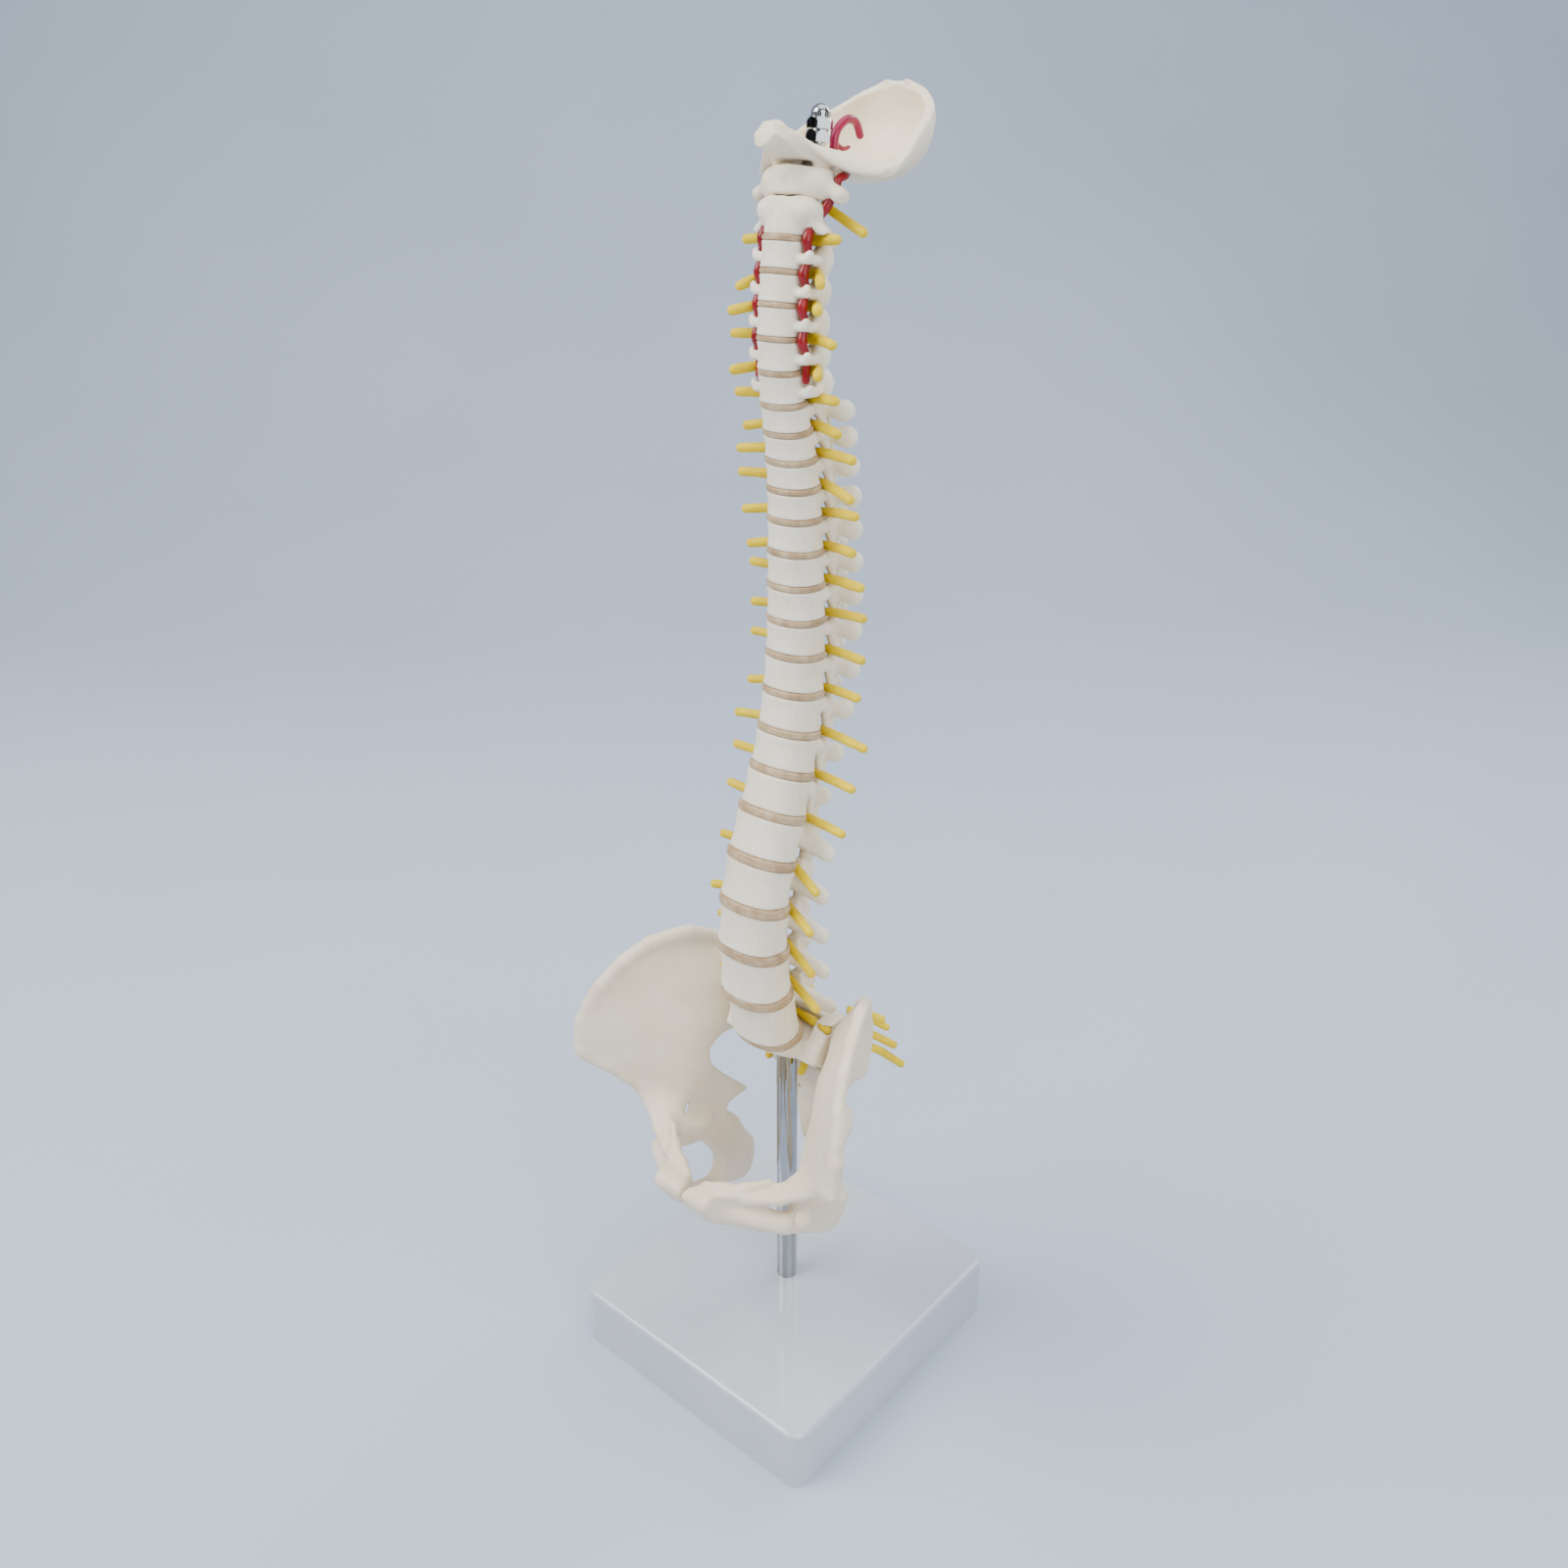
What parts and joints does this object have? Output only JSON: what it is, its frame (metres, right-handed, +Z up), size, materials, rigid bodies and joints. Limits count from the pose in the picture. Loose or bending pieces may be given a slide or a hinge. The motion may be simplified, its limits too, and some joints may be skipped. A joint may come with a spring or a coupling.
{
  "type": "half-size human spine anatomy model on a stand",
  "caption": "Teaching model of a human spine with skull base, pelvis, translucent discs, nerve stubs and neck arteries, threaded on a rod and held by a tube on a square base.",
  "frame": {"origin": "centre of the base's underside, on the stand tube's axis", "axes": "+Z up along the stand tube; the body faces -Y and its left side is +X"},
  "size_m": [0.1264, 0.119, 0.4573],
  "materials": {
    "bone_plastic": "satin ivory PVC",
    "disc_plastic": "translucent amber soft PVC",
    "nerve_plastic": "glossy yellow soft PVC",
    "artery_plastic": "glossy crimson soft PVC",
    "chrome": "polished",
    "steel": "threaded and plain steel",
    "base_plastic": "glossy pale grey moulding"
  },
  "bodies": {
    "root": {"base": "base_plastic", "stand_tube": "chrome", "core_rod": "steel", "cap_nut": "chrome", "lock_nut": "chrome", "occipital_bone": "bone_plastic", "vertebra_c1": "bone_plastic", "vertebra_c2": "bone_plastic", "vertebra_c3": "bone_plastic", "vertebra_c4": "bone_plastic", "vertebra_c5": "bone_plastic", "vertebra_c6": "bone_plastic", "vertebra_c7": "bone_plastic", "vertebra_t1": "bone_plastic", "vertebra_t2": "bone_plastic", "vertebra_t3": "bone_plastic", "vertebra_t4": "bone_plastic", "vertebra_t5": "bone_plastic", "vertebra_t6": "bone_plastic", "vertebra_t7": "bone_plastic", "vertebra_t8": "bone_plastic", "vertebra_t9": "bone_plastic", "vertebra_t10": "bone_plastic", "vertebra_t11": "bone_plastic", "vertebra_t12": "bone_plastic", "vertebra_l1": "bone_plastic", "vertebra_l2": "bone_plastic", "vertebra_l3": "bone_plastic", "vertebra_l4": "bone_plastic", "vertebra_l5": "bone_plastic", "disc_c2_c3": "disc_plastic", "disc_c3_c4": "disc_plastic", "disc_c4_c5": "disc_plastic", "disc_c5_c6": "disc_plastic", "disc_c6_c7": "disc_plastic", "disc_c7_t1": "disc_plastic", "disc_t1_t2": "disc_plastic", "disc_t2_t3": "disc_plastic", "disc_t3_t4": "disc_plastic", "disc_t4_t5": "disc_plastic", "disc_t5_t6": "disc_plastic", "disc_t6_t7": "disc_plastic", "disc_t7_t8": "disc_plastic", "disc_t8_t9": "disc_plastic", "disc_t9_t10": "disc_plastic", "disc_t10_t11": "disc_plastic", "disc_t11_t12": "disc_plastic", "disc_t12_l1": "disc_plastic", "disc_l1_l2": "disc_plastic", "disc_l2_l3": "disc_plastic", "disc_l3_l4": "disc_plastic", "disc_l4_l5": "disc_plastic", "disc_l5_s1": "disc_plastic", "sacrum": "bone_plastic", "hip_bone_left": "bone_plastic", "hip_bone_right": "bone_plastic", "spinal_cord": "nerve_plastic", "spinal_nerves": "nerve_plastic", "vertebral_arteries": "artery_plastic"}
  },
  "joints": []
}
